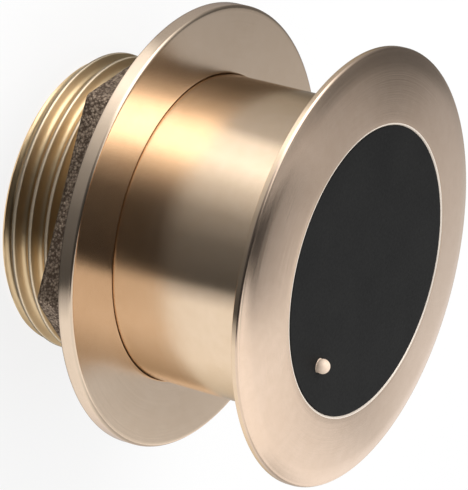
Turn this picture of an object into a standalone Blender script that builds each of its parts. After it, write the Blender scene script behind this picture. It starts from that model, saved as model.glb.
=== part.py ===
"""Bronze through-hull sonar transducer, standing on the end of its threaded stem.

The housing is one turned bronze casting: a threaded stem, a smooth shank and a low
domed head. A flanged hexagon nut runs on the stem and would clamp a hull wall against
the head. A black acoustic window closes the head, with a small domed temperature stud
in it. Behind the window a piezo disc sits tilted in its cup, wired to a small board
with a matching transformer, all held by a potting plug with a cable gland in its end.

Metres, +Z up: the axis is Z, and the stem's end stands at Z = 0.
"""

import math

import bmesh
import bpy
from mathutils import Matrix, Vector

MM = 0.001

# Fits that the pieces share
FIT_GAP = 0.3 * MM          # between pieces that seat on each other
BOND_GAP = 0.1 * MM         # bond line round the window and the stud
THREAD_CLEARANCE = 0.25 * MM
NUT_CLEARANCE = 0.5 * MM    # plain bore of the nut round the shank

# Facets round the axis
MAIN_STEPS = 60
SMALL_STEPS = 28
PIN_STEPS = 12
DOME_FACETS = 5
FILLET_FACETS = 3
THREAD_ROOT_FACETS = 3
CUTTER_REACH = 0.4 * MM     # how far a cutter runs past the skin it cuts
WELD_DISTANCE = 0.01 * MM

# Housing
HEAD_RADIUS = 39.5 * MM
HEAD_RIM_HEIGHT = 0.8 * MM
HEAD_EDGE_RADIUS = 0.5 * MM
FACE_RISE = 2.5 * MM        # from the rim's straight edge up to the window's lip
SHANK_RADIUS = 28.2 * MM
SEAT_HEIGHT = 56.6 * MM     # from the stem's end to the seat under the head
SEAT_FILLET = 1.0 * MM
BORE_RADIUS = 23.0 * MM
STEM_CHAMFER = 1.8 * MM
LIP_CHAMFER = 0.2 * MM
BORE_CHAMFER = 0.5 * MM

# Thread of the stem
THREAD_RADIUS = 27.5 * MM
THREAD_PITCH = 3.5 * MM
THREAD_DEPTH = 1.6 * MM
THREAD_CREST = 0.55 * MM
THREAD_FLANK = math.radians(30)
THREAD_START = math.pi      # where round the axis the groove runs out
THREAD_TOP = 19.6 * MM      # last full crest
RELIEF_TOP = 24.8 * MM      # first full shank above the runout groove
RELIEF_DEPTH = 0.1 * MM     # below the thread's root

# Hull nut
NUT_FACE_HEIGHT = 25.25 * MM
NUT_HEIGHT = 10.45 * MM
NUT_FLANGE_RADIUS = 40.65 * MM
NUT_FLANGE_THICKNESS = 2.9 * MM
NUT_EDGE_RADIUS = 0.6 * MM
NUT_ACROSS_FLATS = 64.0 * MM
NUT_CORNER_ROUND = 1.2 * MM
NUT_TURN = math.radians(28.15)
NUT_COUNTERBORE = 3.4 * MM
NUT_LEAD_IN = 1.2 * MM

# Acoustic window and the tilt of what is bonded behind it
WINDOW_RADIUS = 26.0 * MM
WINDOW_THICKNESS = 4.4 * MM
WEDGE_MIN = 1.0 * MM
ELEMENT_TILT = math.radians(12)
ELEMENT_OFFSET = 2.0 * MM   # away from the temperature stud

# Temperature stud and thermistor
STUD_RADIUS = 1.33 * MM
STUD_STANDOUT = 0.6 * MM    # straight part above the window, below the dome
STUD_ORBIT = 19.8 * MM
STUD_TAIL = 0.5 * MM        # below the window's back
BEAD_RADIUS = 1.1 * MM
SENSOR_LEAD_RADIUS = 0.3 * MM
SENSOR_LEAD_SPREAD = 0.6 * MM

# Piezo element, its cup and contacts
ELEMENT_RADIUS = 16.5 * MM
ELEMENT_THICKNESS = 7.0 * MM
PAD_THICKNESS = 2.0 * MM
CUP_WALL = 1.6 * MM
CUP_FLOOR = 1.5 * MM
STRIP_WIDTH = 3.0 * MM
STRIP_THICKNESS = 0.4 * MM
CONTACT_HEAD_RADIUS = 3.0 * MM
CONTACT_HEAD_THICKNESS = 0.5 * MM
CONTACT_PIN_RADIUS = 0.6 * MM
CONTACT_TAIL = 1.6 * MM     # what stands out below the cup
ELEMENT_LEAD_RADIUS = 0.5 * MM

# Circuit board, terminals and chip
BOARD_RADIUS = 20.0 * MM
BOARD_THICKNESS = 1.6 * MM
BOARD_HEIGHT = 25.5 * MM
TERMINAL_RADIUS = 0.8 * MM
TERMINAL_HEIGHT = 1.5 * MM
TERMINAL_COLLAR = 1.3 * MM
TERMINAL_COLLAR_HEIGHT = 0.4 * MM
TERMINAL_ORBIT = 17.6 * MM
SENSOR_TERMINAL_SPREAD = 2.5 * MM
CHIP_SIDE = 5.0 * MM
CHIP_THICKNESS = 1.2 * MM
CHIP_OFFSET = 8.0 * MM

# Matching transformer
CORE_OUTER = 9.5 * MM
CORE_INNER = 5.5 * MM
CORE_HEIGHT = 5.0 * MM
WINDING_THICKNESS = 1.3 * MM
WINDING_SWEEP = math.radians(305)

# Potting plug and cable gland
POTTING_BOTTOM = 10.5 * MM
POCKET_WALL = 1.2 * MM
GLAND_BORE = 5.0 * MM
GLAND_BARREL = 8.0 * MM
GLAND_FLANGE_RADIUS = 11.0 * MM
GLAND_FLANGE = 2.0 * MM
GLAND_TAIL = 4.6 * MM
GLAND_SHOULDER = 1.2 * MM
GROMMET_HEIGHT = 3.4 * MM
CABLE_HOLE = 3.6 * MM
WASHER_THICKNESS = 0.8 * MM
GLAND_NUT_FLATS = 22.0 * MM
GLAND_NUT_FLOOR = 1.5 * MM
GLAND_NUT_HOLE = 4.2 * MM

# Places that follow from the sizes above
RIM_TOP = SEAT_HEIGHT + HEAD_RIM_HEIGHT
FACE_HEIGHT = RIM_TOP + FACE_RISE
LEDGE_HEIGHT = FACE_HEIGHT - WINDOW_THICKNESS - BOND_GAP
RECESS_RADIUS = WINDOW_RADIUS + BOND_GAP
THREAD_ROOT = THREAD_RADIUS - THREAD_DEPTH
RELIEF_RADIUS = THREAD_ROOT - RELIEF_DEPTH
GROOVE_HALF = (THREAD_PITCH - THREAD_CREST) / 2
GROOVE_END = (THREAD_TOP + RELIEF_TOP) / 2
NUT_BORE = SHANK_RADIUS + NUT_CLEARANCE
NUT_MINOR = THREAD_ROOT + THREAD_CLEARANCE
NUT_REAR = NUT_FACE_HEIGHT - NUT_HEIGHT
PLUG_RADIUS = BORE_RADIUS - FIT_GAP
WEDGE_HEIGHT = LEDGE_HEIGHT - WEDGE_MIN - PLUG_RADIUS * math.tan(ELEMENT_TILT)
CUP_INNER = ELEMENT_RADIUS + FIT_GAP
CUP_OUTER = CUP_INNER + CUP_WALL
ELEMENT_BOTTOM = -FIT_GAP - ELEMENT_THICKNESS
PAD_TOP = ELEMENT_BOTTOM - FIT_GAP
PAD_BOTTOM = PAD_TOP - PAD_THICKNESS
CUP_INSIDE = PAD_BOTTOM - FIT_GAP
CUP_BOTTOM = CUP_INSIDE - CUP_FLOOR
CONTACT_END = CUP_BOTTOM - CONTACT_TAIL
STRIP_ORBIT = ELEMENT_RADIUS + FIT_GAP + STRIP_THICKNESS / 2
BOARD_TOP = BOARD_HEIGHT + BOARD_THICKNESS
TERMINAL_TOP = BOARD_TOP + TERMINAL_HEIGHT
WINDING_HEIGHT = CORE_HEIGHT + 2 * (FIT_GAP + WINDING_THICKNESS)
WINDING_OUTER = CORE_OUTER + FIT_GAP + WINDING_THICKNESS
WINDING_INNER = CORE_INNER - FIT_GAP - WINDING_THICKNESS
WINDING_TOP = BOARD_HEIGHT - FIT_GAP
CORE_TOP = WINDING_TOP - WINDING_THICKNESS - FIT_GAP
POCKET_FLOOR = WINDING_TOP - WINDING_HEIGHT - FIT_GAP
POCKET_RADIUS = WINDING_OUTER + POCKET_WALL
BOARD_LEDGE = BOARD_HEIGHT - FIT_GAP
GLAND_FLANGE_TOP = POTTING_BOTTOM - FIT_GAP
GLAND_FLANGE_BOTTOM = GLAND_FLANGE_TOP - GLAND_FLANGE
GLAND_END = GLAND_FLANGE_BOTTOM - GLAND_TAIL
GROMMET_RADIUS = GLAND_BARREL - GLAND_SHOULDER - FIT_GAP
GROMMET_TOP = GLAND_END + FIT_GAP + GROMMET_HEIGHT
WASHER_TOP = GLAND_END - FIT_GAP
GLAND_NUT_INSIDE = WASHER_TOP - WASHER_THICKNESS - FIT_GAP
GLAND_NUT_BOTTOM = GLAND_NUT_INSIDE - GLAND_NUT_FLOOR

# Colours, roughness and metallic value
BRONZE = ("bronze_satin", (0.60, 0.47, 0.33), 0.32, 1.0)
CAST_BRONZE = ("bronze_cast", (0.42, 0.34, 0.27), 0.55, 1.0)
BLACK_URETHANE = ("black_urethane", (0.024, 0.024, 0.024), 0.45, 0.0)
PZT_CERAMIC = ("piezo_ceramic", (0.55, 0.50, 0.40), 0.60, 0.0)
CORK = ("cork", (0.45, 0.28, 0.15), 0.90, 0.0)
SILVERED = ("silvered_brass", (0.75, 0.72, 0.66), 0.30, 1.0)
LEAD_RED = ("lead_red", (0.45, 0.03, 0.03), 0.50, 0.0)
LEAD_BLACK = ("lead_black", (0.03, 0.03, 0.03), 0.50, 0.0)
LEAD_WHITE = ("lead_white", (0.75, 0.75, 0.72), 0.50, 0.0)
BOARD_GREEN = ("board_green", (0.03, 0.20, 0.08), 0.50, 0.0)
CHIP_BLACK = ("chip_black", (0.02, 0.02, 0.02), 0.55, 0.0)
FERRITE = ("ferrite", (0.07, 0.07, 0.075), 0.60, 0.0)
ENAMEL_COPPER = ("enamel_copper", (0.55, 0.20, 0.08), 0.35, 1.0)
POTTING_EPOXY = ("potting_epoxy", (0.04, 0.04, 0.05), 0.50, 0.0)
GLAND_NYLON = ("gland_nylon", (0.05, 0.05, 0.05), 0.50, 0.0)
GROMMET_RUBBER = ("grommet_rubber", (0.03, 0.03, 0.03), 0.80, 0.0)
BEAD_GLASS = ("bead_epoxy", (0.10, 0.05, 0.02), 0.40, 0.0)


# Scene, collections and materials

def clear_scene():
    """Remove every object, so that the script can be run again."""
    for old in list(bpy.data.objects):
        bpy.data.objects.remove(old, do_unlink=True)


def new_collection(name):
    """Make a collection and link it to the scene."""
    made = bpy.data.collections.new(name)
    bpy.context.scene.collection.children.link(made)
    return made


clear_scene()
PARTS = new_collection("sonar_transducer")
CUTTERS = new_collection("cutters")


def dress(piece, finish):
    """Give a piece its material: name, base colour, roughness and metallic value."""
    name, color, roughness, metallic = finish
    made = bpy.data.materials.get(name)
    if made is None:
        made = bpy.data.materials.new(name)
        made.use_nodes = True
        shader = made.node_tree.nodes["Principled BSDF"]
        shader.inputs["Base Color"].default_value = (*color, 1.0)
        shader.inputs["Roughness"].default_value = roughness
        shader.inputs["Metallic"].default_value = metallic
        made.diffuse_color = (*color, 1.0)
    piece.data.materials.clear()
    piece.data.materials.append(made)
    return piece


# Modelling helpers

def new_object(name, mesh, collection=PARTS):
    """Link a mesh as a named object."""
    piece = bpy.data.objects.new(name, mesh)
    collection.objects.link(piece)
    return piece


def as_cutter(piece):
    """Keep a cutter out of the render and out of the model."""
    piece.hide_render = True
    piece.display_type = "WIRE"
    return piece


def arc(center_r, center_z, radius, start, end, facets):
    """Points of an arc in the turning plane, from one angle in degrees to another."""
    points = []
    for i in range(facets + 1):
        angle = math.radians(start + (end - start) * i / facets)
        points.append((center_r + radius * math.cos(angle), center_z + radius * math.sin(angle)))
    return points


def profile_mesh(name, points, closed):
    """An edge loop in the XZ plane, for a Screw modifier to turn about Z."""
    shape = bmesh.new()
    corners = [shape.verts.new((r, 0.0, z)) for r, z in points]
    for first, second in zip(corners, corners[1:]):
        shape.edges.new((first, second))
    if closed:
        shape.edges.new((corners[-1], corners[0]))
    mesh = bpy.data.meshes.new(name)
    shape.to_mesh(mesh)
    shape.free()
    return mesh


def add_screw(piece, steps, sweep=2 * math.pi, rise=0.0, turns=1):
    """Turn a profile about Z, or sweep it up a helix when it rises."""
    screw = piece.modifiers.new("Turn", "SCREW")
    screw.axis = "Z"
    screw.steps = steps
    screw.render_steps = steps
    screw.angle = sweep
    screw.screw_offset = rise
    screw.iterations = turns
    screw.use_merge_vertices = rise == 0.0
    screw.merge_threshold = 0.00001
    screw.use_smooth_shade = True
    return screw


def turned(name, points, finish=None, steps=MAIN_STEPS, collection=PARTS):
    """A turned piece. Its profile runs down the outer side and back up the bore."""
    closed = points[0][0] > 0.0
    piece = new_object(name, profile_mesh(name, points, closed), collection)
    add_screw(piece, steps)
    if finish:
        dress(piece, finish)
    return piece


def swept(name, points, steps, sweep=2 * math.pi, rise=0.0, turns=1, collection=CUTTERS):
    """A closed profile swept round Z with both ends capped, as a plain mesh."""
    guide = new_object(name + "_guide", profile_mesh(name + "_guide", points, True), CUTTERS)
    add_screw(guide, steps, sweep, rise, turns)
    bpy.context.view_layer.update()
    mesh = bpy.data.meshes.new_from_object(guide.evaluated_get(bpy.context.evaluated_depsgraph_get()))
    mesh.name = name
    bpy.data.objects.remove(guide, do_unlink=True)
    shape = bmesh.new()
    shape.from_mesh(mesh)
    rims = [edge for edge in shape.edges if edge.is_boundary]
    bmesh.ops.holes_fill(shape, edges=rims, sides=0)
    bmesh.ops.recalc_face_normals(shape, faces=shape.faces)
    shape.to_mesh(mesh)
    shape.free()
    return new_object(name, mesh, collection)


def box(name, size, center, finish=None, collection=PARTS):
    """A rectangular block."""
    shape = bmesh.new()
    place = Matrix.Translation(center) @ Matrix.Diagonal((*size, 1.0))
    bmesh.ops.create_cube(shape, size=1.0, matrix=place)
    mesh = bpy.data.meshes.new(name)
    shape.to_mesh(mesh)
    shape.free()
    piece = new_object(name, mesh, collection)
    if finish:
        dress(piece, finish)
    return piece


def hexagon(name, across_flats, bottom, top, rounding, turn=0.0, finish=None, collection=PARTS):
    """A hexagonal prism with its corners and edges rounded, one flat facing the turn angle."""
    corner_radius = across_flats / 2 / math.cos(math.pi / 6)
    shape = bmesh.new()
    place = Matrix.Translation((0, 0, (bottom + top) / 2)) @ Matrix.Rotation(turn, 4, "Z")
    bmesh.ops.create_cone(shape, cap_ends=True, segments=6, radius1=corner_radius,
                          radius2=corner_radius, depth=top - bottom, matrix=place)
    mesh = bpy.data.meshes.new(name)
    shape.to_mesh(mesh)
    shape.free()
    piece = new_object(name, mesh, collection)
    bevel = piece.modifiers.new("Rounded edges", "BEVEL")
    bevel.width = rounding
    bevel.segments = 2
    bevel.limit_method = "ANGLE"
    if finish:
        dress(piece, finish)
    return piece


def combine(piece, other, operation):
    """Boolean with the exact solver; the other object becomes a hidden cutter."""
    as_cutter(other)
    step = piece.modifiers.new(operation.title() + " " + other.name, "BOOLEAN")
    step.operation = operation
    step.solver = "EXACT"
    step.object = other
    return piece


def weld(piece):
    """Close up the hairline edges that a Boolean leaves where two facets cross."""
    merge = piece.modifiers.new("Weld", "WELD")
    merge.merge_threshold = WELD_DISTANCE
    return piece


def wire(name, points, radius, finish):
    """A lead: a smooth curve through its points, with filled caps."""
    curve = bpy.data.curves.new(name, "CURVE")
    curve.dimensions = "3D"
    curve.bevel_depth = radius
    curve.bevel_resolution = 2
    curve.use_fill_caps = True
    route = smooth_route([Vector(point) for point in points], 4)
    line = curve.splines.new("POLY")
    line.points.add(len(route) - 1)
    for target, point in zip(line.points, route):
        target.co = (*point, 1.0)
    piece = bpy.data.objects.new(name, curve)
    PARTS.objects.link(piece)
    return dress(piece, finish)


def smooth_route(points, pieces):
    """Points of a Catmull-Rom curve through the given points."""
    route = []
    ends = [points[0] * 2 - points[1]] + points + [points[-1] * 2 - points[-2]]
    for a, b, c, d in zip(ends, ends[1:], ends[2:], ends[3:]):
        for i in range(pieces):
            t = i / pieces
            route.append(0.5 * (2 * b + (c - a) * t + (2 * a - 5 * b + 4 * c - d) * t ** 2
                                + (3 * b - a - 3 * c + d) * t ** 3))
    route.append(points[-1])
    return route


# The two halves of the thread, both starting at -X so that nut and stem mesh

def groove_profile(center):
    """The stem's groove: straight flanks and a round root, tangent to both.

    The flanks run on past the crest by less than half its width, so turns stay apart.
    """
    sine = math.sin(THREAD_FLANK)
    sharp_depth = GROOVE_HALF / math.tan(THREAD_FLANK)
    root_radius = (sharp_depth - THREAD_DEPTH) / (1 / sine - 1)
    root_center = THREAD_ROOT + root_radius
    reach = 90 - math.degrees(THREAD_FLANK)
    root = arc(root_center, center, root_radius, 180 - reach, 180 + reach, THREAD_ROOT_FACETS)
    spread = THREAD_CREST / 3
    outside = THREAD_RADIUS + spread / math.tan(THREAD_FLANK)
    mouth = GROOVE_HALF + spread
    return [(outside, center - mouth)] + root[::-1] + [(outside, center + mouth)]


def stem_groove_cutter():
    """Groove from below the stem's end up into the runout groove."""
    turns = math.ceil((GROOVE_END + GROOVE_HALF) / THREAD_PITCH)
    start = GROOVE_END - turns * THREAD_PITCH
    cutter = swept("stem_groove", groove_profile(start), MAIN_STEPS, rise=THREAD_PITCH, turns=turns)
    cutter.rotation_euler.z = THREAD_START
    return cutter


def nut_groove_cutter():
    """The stem's ridge grown by the clearance, run right through the nut."""
    slope = math.tan(THREAD_FLANK)
    normal = THREAD_CLEARANCE / math.cos(THREAD_FLANK)
    crest = THREAD_RADIUS + THREAD_CLEARANCE
    crest_half = THREAD_CREST / 2 + normal - THREAD_CLEARANCE * slope
    inside = NUT_MINOR - CUTTER_REACH
    foot_half = crest_half + (crest - inside) * slope
    first = GROOVE_END + THREAD_PITCH / 2
    below = math.ceil((first - NUT_REAR + foot_half) / THREAD_PITCH)
    start = first - below * THREAD_PITCH
    turns = math.ceil((NUT_FACE_HEIGHT + foot_half - start) / THREAD_PITCH)
    points = [(inside, start + foot_half), (crest, start + crest_half),
              (crest, start - crest_half), (inside, start - foot_half)]
    cutter = swept("nut_groove", points, MAIN_STEPS, rise=THREAD_PITCH, turns=turns)
    cutter.rotation_euler.z = THREAD_START
    return cutter


# Bronze housing: stem, shank and head in one piece

def dome_points():
    """The head's low dome, from the window's lip out to the rounded edge."""
    edge_r = HEAD_RADIUS - HEAD_EDGE_RADIUS
    lip_r = RECESS_RADIUS + LIP_CHAMFER
    edge_top = RIM_TOP + HEAD_EDGE_RADIUS
    drop = FACE_HEIGHT - edge_top
    dome_radius = (edge_r ** 2 - lip_r ** 2) / (2 * drop)
    points = []
    for i in range(DOME_FACETS):
        r = lip_r + (edge_r - lip_r) * i / DOME_FACETS
        points.append((r, FACE_HEIGHT - (r ** 2 - lip_r ** 2) / (2 * dome_radius)))
    edge = arc(edge_r, RIM_TOP, HEAD_EDGE_RADIUS, 90, 0, FILLET_FACETS)
    return points + edge


def housing():
    """The turned casting, with the thread cut into its stem."""
    profile = dome_points()
    profile += [(HEAD_RADIUS, SEAT_HEIGHT)]
    profile += arc(SHANK_RADIUS + SEAT_FILLET, SEAT_HEIGHT - SEAT_FILLET, SEAT_FILLET, 90, 180,
                   FILLET_FACETS)
    shank_step = SHANK_RADIUS - RELIEF_RADIUS
    thread_step = THREAD_RADIUS - RELIEF_RADIUS
    profile += [(SHANK_RADIUS, RELIEF_TOP), (RELIEF_RADIUS, RELIEF_TOP - shank_step)]
    profile += [(RELIEF_RADIUS, THREAD_TOP + thread_step), (THREAD_RADIUS, THREAD_TOP)]
    profile += [(THREAD_RADIUS, STEM_CHAMFER), (THREAD_RADIUS - STEM_CHAMFER, 0.0)]
    profile += [(BORE_RADIUS + BORE_CHAMFER, 0.0), (BORE_RADIUS, BORE_CHAMFER)]
    profile += [(BORE_RADIUS, LEDGE_HEIGHT), (RECESS_RADIUS, LEDGE_HEIGHT)]
    profile += [(RECESS_RADIUS, FACE_HEIGHT - LIP_CHAMFER)]
    body = turned("housing", profile, BRONZE)
    return weld(combine(body, stem_groove_cutter(), "DIFFERENCE"))


# Hull nut: machined flange on a sand-cast hexagon

def hull_nut():
    """Flange and hexagon joined, then bored and threaded for the stem."""
    edge = arc(NUT_FLANGE_RADIUS - NUT_EDGE_RADIUS, NUT_FACE_HEIGHT - NUT_EDGE_RADIUS,
               NUT_EDGE_RADIUS, 90, 0, FILLET_FACETS)
    flange_back = NUT_FACE_HEIGHT - NUT_FLANGE_THICKNESS
    flange = turned("hull_nut", [(0.0, NUT_FACE_HEIGHT)] + edge
                    + [(NUT_FLANGE_RADIUS, flange_back), (0.0, flange_back)], BRONZE)
    inside_flange = NUT_FACE_HEIGHT - NUT_FLANGE_THICKNESS / 2
    cast = hexagon("nut_hexagon", NUT_ACROSS_FLATS, NUT_REAR, inside_flange, NUT_CORNER_ROUND,
                   NUT_TURN, collection=CUTTERS)
    combine(flange, cast, "UNION")
    seat = NUT_FACE_HEIGHT - NUT_COUNTERBORE
    step = NUT_BORE - NUT_MINOR
    bore = turned("nut_bore", [
        (0.0, NUT_FACE_HEIGHT + CUTTER_REACH), (NUT_BORE, NUT_FACE_HEIGHT + CUTTER_REACH),
        (NUT_BORE, seat), (NUT_MINOR, seat - step),
        (NUT_MINOR, NUT_REAR + NUT_LEAD_IN),
        (NUT_MINOR + NUT_LEAD_IN + CUTTER_REACH, NUT_REAR - CUTTER_REACH),
        (0.0, NUT_REAR - CUTTER_REACH)], collection=CUTTERS)
    combine(flange, bore, "DIFFERENCE")
    return weld(combine(flange, nut_groove_cutter(), "DIFFERENCE"))


# Acoustic window with a tilted back, and the temperature stud in it

def tilted_frame():
    """An empty on the window's tilted back, its -Z pointing into the stem."""
    frame = bpy.data.objects.new("element_frame", None)
    PARTS.objects.link(frame)
    frame.empty_display_size = ELEMENT_RADIUS
    frame.location = (0.0, ELEMENT_OFFSET, WEDGE_HEIGHT)
    frame.rotation_euler = (0.0, ELEMENT_TILT, 0.0)
    bpy.context.view_layer.update()
    return frame


def acoustic_window(frame):
    """A flanged plug that closes the head, cut off slanted at the back."""
    plug_bottom = WEDGE_HEIGHT - PLUG_RADIUS * math.tan(ELEMENT_TILT) - PLUG_RADIUS
    ledge = LEDGE_HEIGHT + BOND_GAP
    window = turned("acoustic_window", [
        (0.0, FACE_HEIGHT), (WINDOW_RADIUS, FACE_HEIGHT), (WINDOW_RADIUS, ledge),
        (PLUG_RADIUS, ledge), (PLUG_RADIUS, plug_bottom), (0.0, plug_bottom)], BLACK_URETHANE)
    block = 4 * BORE_RADIUS
    slant = box("window_slant", (block, block, block), (0.0, 0.0, -block / 2), collection=CUTTERS)
    slant.parent = frame
    combine(window, slant, "DIFFERENCE")
    hole = turned("stud_hole", [
        (0.0, FACE_HEIGHT + CUTTER_REACH), (STUD_RADIUS + BOND_GAP, FACE_HEIGHT + CUTTER_REACH),
        (STUD_RADIUS + BOND_GAP, plug_bottom), (0.0, plug_bottom)],
        steps=PIN_STEPS, collection=CUTTERS)
    hole.location = (0.0, -STUD_ORBIT, 0.0)
    return combine(window, hole, "DIFFERENCE")


def temperature_stud():
    """Domed bronze stud that carries the water's heat to the thermistor."""
    dome = arc(0.0, FACE_HEIGHT + STUD_STANDOUT, STUD_RADIUS, 90, 0, 6)
    dome[0] = (0.0, FACE_HEIGHT + STUD_STANDOUT + STUD_RADIUS)
    end = WEDGE_HEIGHT - STUD_TAIL
    stud = turned("temperature_stud", dome + [(STUD_RADIUS, end), (0.0, end)], BRONZE,
                  steps=PIN_STEPS)
    stud.location = (0.0, -STUD_ORBIT, 0.0)
    return stud


def thermistor():
    """Bead on the stud's end with its two leads down to the board."""
    top = WEDGE_HEIGHT - STUD_TAIL - FIT_GAP
    center = top - BEAD_RADIUS
    half = arc(0.0, center, BEAD_RADIUS, 90, -90, 8)
    half[0] = (0.0, top)
    half[-1] = (0.0, center - BEAD_RADIUS)
    bead = turned("thermistor_bead", half, BEAD_GLASS, steps=PIN_STEPS)
    bead.location = (0.0, -STUD_ORBIT, 0.0)
    start = center - BEAD_RADIUS - FIT_GAP
    end = TERMINAL_TOP + FIT_GAP
    for label, side in (("a", -1), ("b", 1)):
        near = (side * SENSOR_LEAD_SPREAD, -STUD_ORBIT)
        far = (side * SENSOR_TERMINAL_SPREAD, -TERMINAL_ORBIT)
        run = start - end
        wire("thermistor_lead_" + label, [
            (*near, start), (*near, start - run / 3),
            (*far, end + run / 3), (*far, end)], SENSOR_LEAD_RADIUS, LEAD_WHITE)


# Piezo disc and what holds and feeds it, all on the tilted frame

def piezo_stack(frame):
    """Disc, cork pad, cup and the two contacts."""
    disc = turned("piezo_element", [
        (0.0, -FIT_GAP), (ELEMENT_RADIUS, -FIT_GAP), (ELEMENT_RADIUS, ELEMENT_BOTTOM),
        (0.0, ELEMENT_BOTTOM)], PZT_CERAMIC, steps=SMALL_STEPS)
    pad_hole = CONTACT_HEAD_RADIUS + FIT_GAP
    pad = turned("backing_pad", [
        (ELEMENT_RADIUS, PAD_TOP), (ELEMENT_RADIUS, PAD_BOTTOM),
        (pad_hole, PAD_BOTTOM), (pad_hole, PAD_TOP)], CORK, steps=SMALL_STEPS)
    floor_hole = CONTACT_PIN_RADIUS + FIT_GAP
    cup = turned("isolation_cup", [
        (CUP_OUTER, -FIT_GAP), (CUP_OUTER, CUP_BOTTOM), (floor_hole, CUP_BOTTOM),
        (floor_hole, CUP_INSIDE), (CUP_INNER, CUP_INSIDE), (CUP_INNER, -FIT_GAP)],
        CORK, steps=SMALL_STEPS)
    slot_depth = STRIP_THICKNESS + 2 * FIT_GAP
    slot_height = 2 * (FIT_GAP - CUP_BOTTOM)
    slot_center = CUP_INNER - FIT_GAP + slot_depth / 2
    slot = box("strip_slot", (STRIP_WIDTH + 2 * FIT_GAP, slot_depth, slot_height),
               (0.0, slot_center, 0.0), collection=CUTTERS)
    combine(cup, slot, "DIFFERENCE")
    strip_top = -2 * FIT_GAP
    strip = box("front_contact_strip", (STRIP_WIDTH, STRIP_THICKNESS, strip_top - CONTACT_END),
                (0.0, STRIP_ORBIT, (strip_top + CONTACT_END) / 2), SILVERED)
    head_bottom = PAD_TOP - CONTACT_HEAD_THICKNESS
    pin = turned("rear_contact_pin", [
        (0.0, PAD_TOP), (CONTACT_HEAD_RADIUS, PAD_TOP), (CONTACT_HEAD_RADIUS, head_bottom),
        (CONTACT_PIN_RADIUS, head_bottom), (CONTACT_PIN_RADIUS, CONTACT_END),
        (0.0, CONTACT_END)], SILVERED, steps=PIN_STEPS)
    for piece in (disc, pad, cup, slot, strip, pin):
        piece.parent = frame


def element_leads(frame):
    """Leads from the two contacts to their terminals on the board."""
    place = frame.matrix_world
    end = TERMINAL_TOP + FIT_GAP
    starts = {
        "element_lead_front": (place @ Vector((0.0, STRIP_ORBIT, CONTACT_END - FIT_GAP)),
                               (0.0, TERMINAL_ORBIT), LEAD_RED),
        "element_lead_rear": (place @ Vector((0.0, 0.0, CONTACT_END - FIT_GAP)),
                              (-TERMINAL_ORBIT, 0.0), LEAD_BLACK),
    }
    for name, (start, terminal, finish) in starts.items():
        run = start.z - end
        wire(name, [start, start - Vector((0, 0, run / 4)),
                    (*terminal, end + run / 4), (*terminal, end)], ELEMENT_LEAD_RADIUS, finish)


# Circuit board with its terminals and chip

def terminal_places():
    """Name and place of each terminal on the board."""
    return {
        "terminal_front": (0.0, TERMINAL_ORBIT),
        "terminal_rear": (-TERMINAL_ORBIT, 0.0),
        "terminal_sensor_a": (-SENSOR_TERMINAL_SPREAD, -TERMINAL_ORBIT),
        "terminal_sensor_b": (SENSOR_TERMINAL_SPREAD, -TERMINAL_ORBIT),
    }


def circuit_board():
    """Round board with a hole for each terminal, and the chip on top of it."""
    board = turned("circuit_board", [
        (0.0, BOARD_TOP), (BOARD_RADIUS, BOARD_TOP), (BOARD_RADIUS, BOARD_HEIGHT),
        (0.0, BOARD_HEIGHT)], BOARD_GREEN, steps=SMALL_STEPS)
    hole_radius = TERMINAL_RADIUS + BOND_GAP
    collar = BOARD_TOP + FIT_GAP + TERMINAL_COLLAR_HEIGHT
    for name, place in terminal_places().items():
        hole = turned(name + "_hole", [
            (0.0, BOARD_TOP + CUTTER_REACH), (hole_radius, BOARD_TOP + CUTTER_REACH),
            (hole_radius, BOARD_HEIGHT - CUTTER_REACH), (0.0, BOARD_HEIGHT - CUTTER_REACH)],
            steps=PIN_STEPS, collection=CUTTERS)
        hole.location = (*place, 0.0)
        combine(board, hole, "DIFFERENCE")
        pin = turned(name, [
            (0.0, TERMINAL_TOP), (TERMINAL_RADIUS, TERMINAL_TOP), (TERMINAL_RADIUS, collar),
            (TERMINAL_COLLAR, collar), (TERMINAL_COLLAR, BOARD_TOP + FIT_GAP),
            (TERMINAL_RADIUS, BOARD_TOP + FIT_GAP), (TERMINAL_RADIUS, BOARD_HEIGHT),
            (0.0, BOARD_HEIGHT)], SILVERED, steps=PIN_STEPS)
        pin.location = (*place, 0.0)
    box("id_chip", (CHIP_SIDE, CHIP_SIDE, CHIP_THICKNESS),
        (CHIP_OFFSET, 0.0, BOARD_TOP + FIT_GAP + CHIP_THICKNESS / 2), CHIP_BLACK)


# Matching transformer: ferrite ring and its winding, open where the ends meet

def rounded_section(inner, outer, bottom, top, rounding):
    """A ring's section with rounded corners, down the outer side and up the inner."""
    corners = [(outer - rounding, top - rounding, 90, 0), (outer - rounding, bottom + rounding, 0, -90),
               (inner + rounding, bottom + rounding, 270, 180), (inner + rounding, top - rounding, 180, 90)]
    points = []
    for r, z, start, end in corners:
        points += arc(r, z, rounding, start, end, 2)
    return points


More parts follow.
